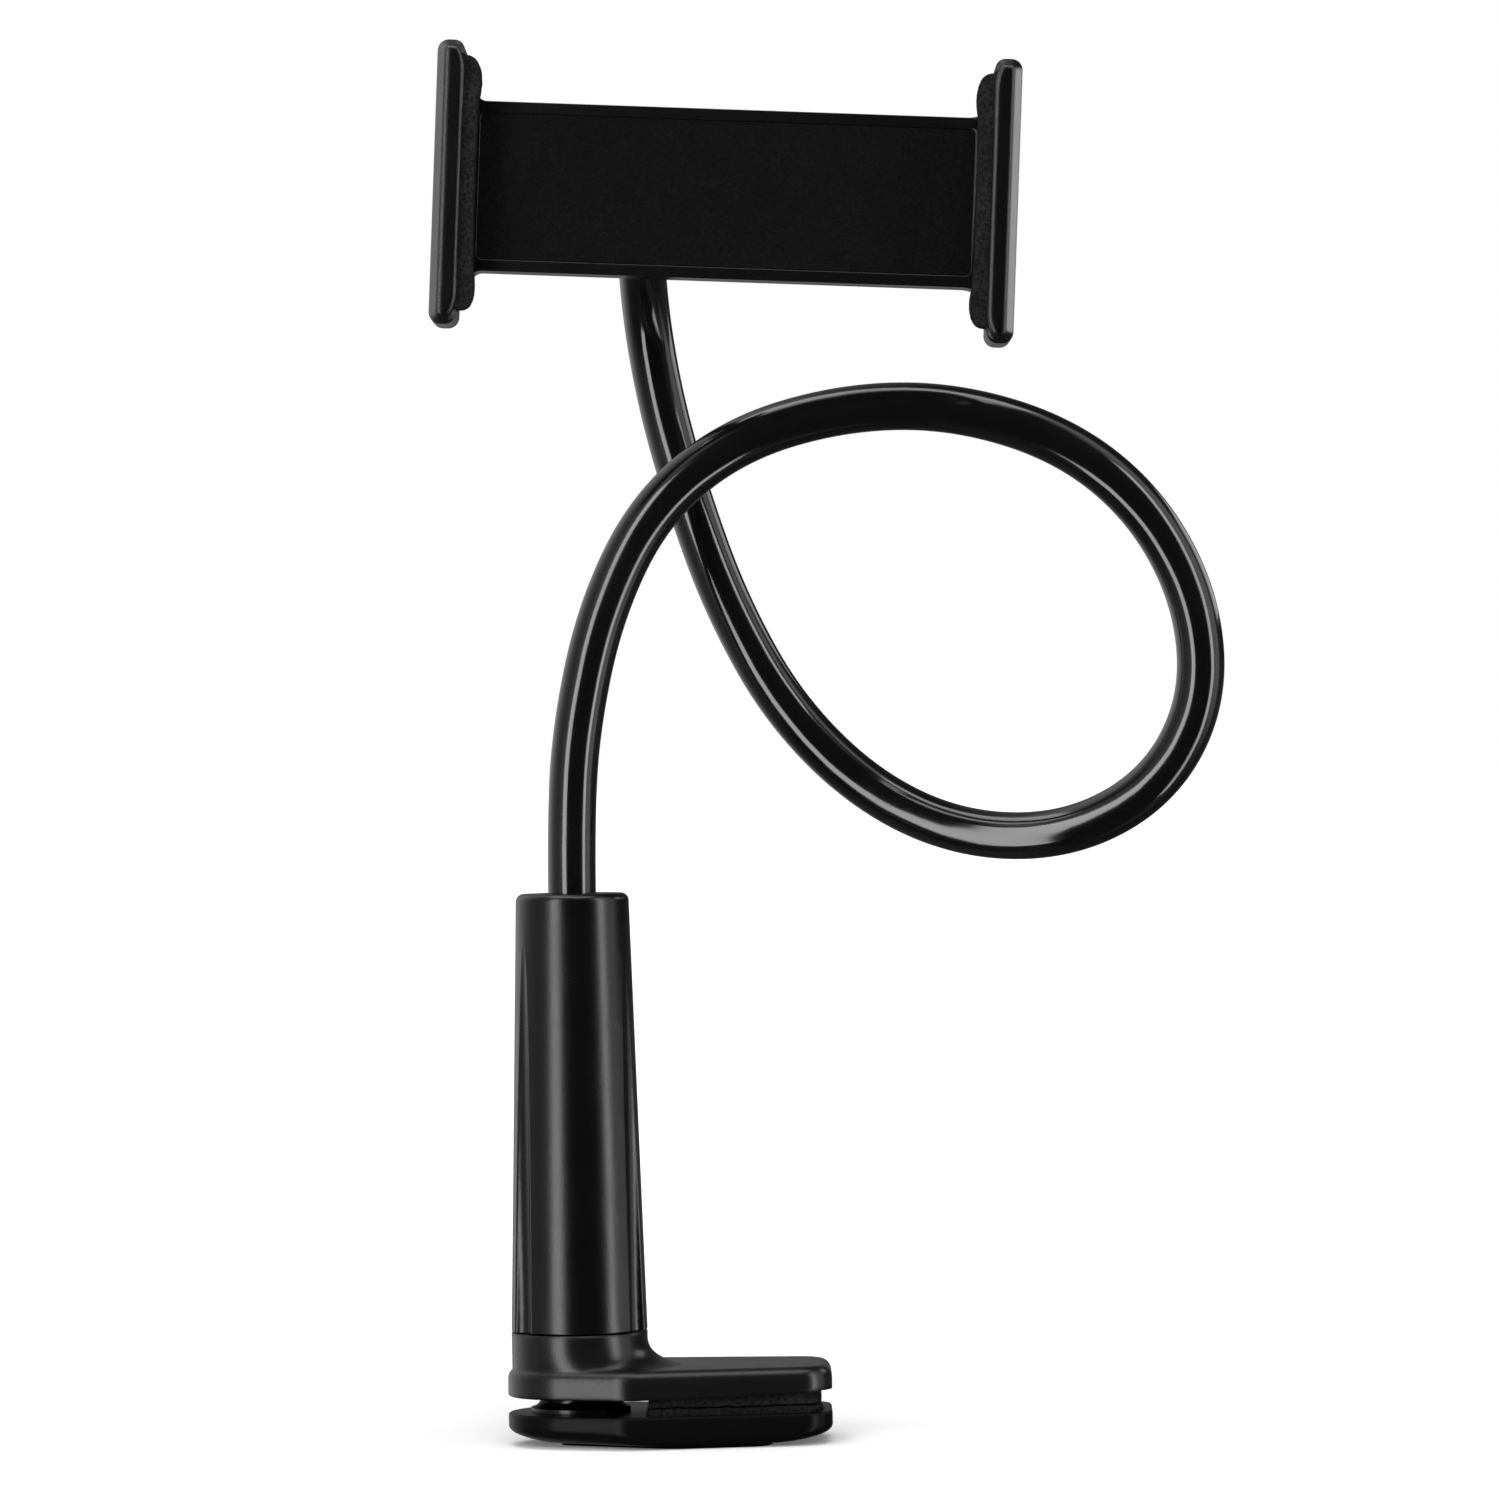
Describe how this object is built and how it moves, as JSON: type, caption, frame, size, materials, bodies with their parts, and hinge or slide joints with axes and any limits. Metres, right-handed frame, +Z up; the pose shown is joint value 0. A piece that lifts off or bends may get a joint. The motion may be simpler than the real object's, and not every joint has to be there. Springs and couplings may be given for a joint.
{
  "type": "phone gooseneck holder",
  "caption": "Desk-clamp phone holder: a twist-grip sleeve closes padded jaws, and a bendable gooseneck carries a sprung bracket with padded jaws on a ball joint.",
  "frame": {"origin": "on the axis of the clamp's post, at the underside of the lower jaw", "axes": "+X along the clamp jaws to their tip, +Y to the back of the holder, +Z up along the post"},
  "size_m": [0.1972, 0.081, 0.3487],
  "materials": {
    "satin_black": "satin moulded ABS, fine grain",
    "gloss_black": "glossy PVC skin",
    "black_foam": "closed-cell EVA foam, coarse grain",
    "black_rubber": "matte rubber sheet",
    "steel": "zinc-plated steel",
    "nylon": "moulded nylon"
  },
  "bodies": {
    "clamp_base": {"lower_jaw": "satin_black", "lower_clamp_pad": "black_foam", "clamp_post": "satin_black", "post_screws": "steel"},
    "clamp_carriage": {"upper_jaw": "satin_black", "upper_clamp_pad": "black_foam", "snap_ring": "steel", "thrust_washer": "nylon"},
    "sleeve": {"grip_sleeve": "satin_black", "plug_retainer": "nylon"},
    "plug": {"neck_plug": "nylon"},
    "neck": {"gooseneck": "gloss_black", "tip_ferrule": "satin_black", "ball_stud": "steel"},
    "seat": {"ball_seat": "nylon"},
    "bracket": {"bracket_housing": "satin_black", "front_pad": "black_rubber", "back_cover": "satin_black", "cover_screws": "steel", "fixed_jaw_pad": "black_foam", "jaw_spring_upper": "steel", "jaw_spring_lower": "steel"},
    "jaw": {"sliding_jaw": "satin_black", "sliding_jaw_pad": "black_foam"},
    "ring": {"lock_ring": "satin_black"}
  },
  "joints": [
    {"name": "clamp_slide", "type": "slide", "parent": "clamp_base", "child": "clamp_carriage", "axis": [0, 0, 1], "range_m": [0, 0.06]},
    {"name": "sleeve_turn", "type": "hinge", "parent": "clamp_carriage", "child": "sleeve", "pos_m": [0, 0, 0.03], "axis": [0, 0, 1], "range_deg": [0, 3600]},
    {"name": "neck_swivel", "type": "hinge", "parent": "clamp_carriage", "child": "plug", "pos_m": [0, 0, 0.13], "axis": [0, 0, 1], "continuous": true},
    {"name": "neck_bend", "type": "hinge", "parent": "plug", "child": "neck", "pos_m": [0, 0, 0.1366], "axis": [0, 1, 0], "range_deg": [-15, 15]},
    {"name": "ball_tilt", "type": "hinge", "parent": "neck", "child": "seat", "pos_m": [0.01973, 0.004, 0.31324], "axis": [1, 0, 0], "range_deg": [-80, 0]},
    {"name": "ball_roll", "type": "hinge", "parent": "seat", "child": "bracket", "pos_m": [0.01973, 0.004, 0.31324], "axis": [0, 1, 0], "continuous": true},
    {"name": "jaw_slide", "type": "slide", "parent": "bracket", "child": "jaw", "axis": [-0.9986, 0, 0.0523], "range_m": [0, 0.065], "stiffness_N_per_m": 120, "springref_m": -0.04, "deforming": ["jaw_spring_upper", "jaw_spring_lower"]},
    {"name": "lock_ring_turn", "type": "hinge", "parent": "bracket", "child": "ring", "pos_m": [0.01973, 0.004, 0.31324], "axis": [0, 1, 0], "range_deg": [0, 180]}
  ],
  "couplings": [
    {"joint": "sleeve_turn", "follows": "clamp_slide", "rad_per_m": 1047.2}
  ]
}
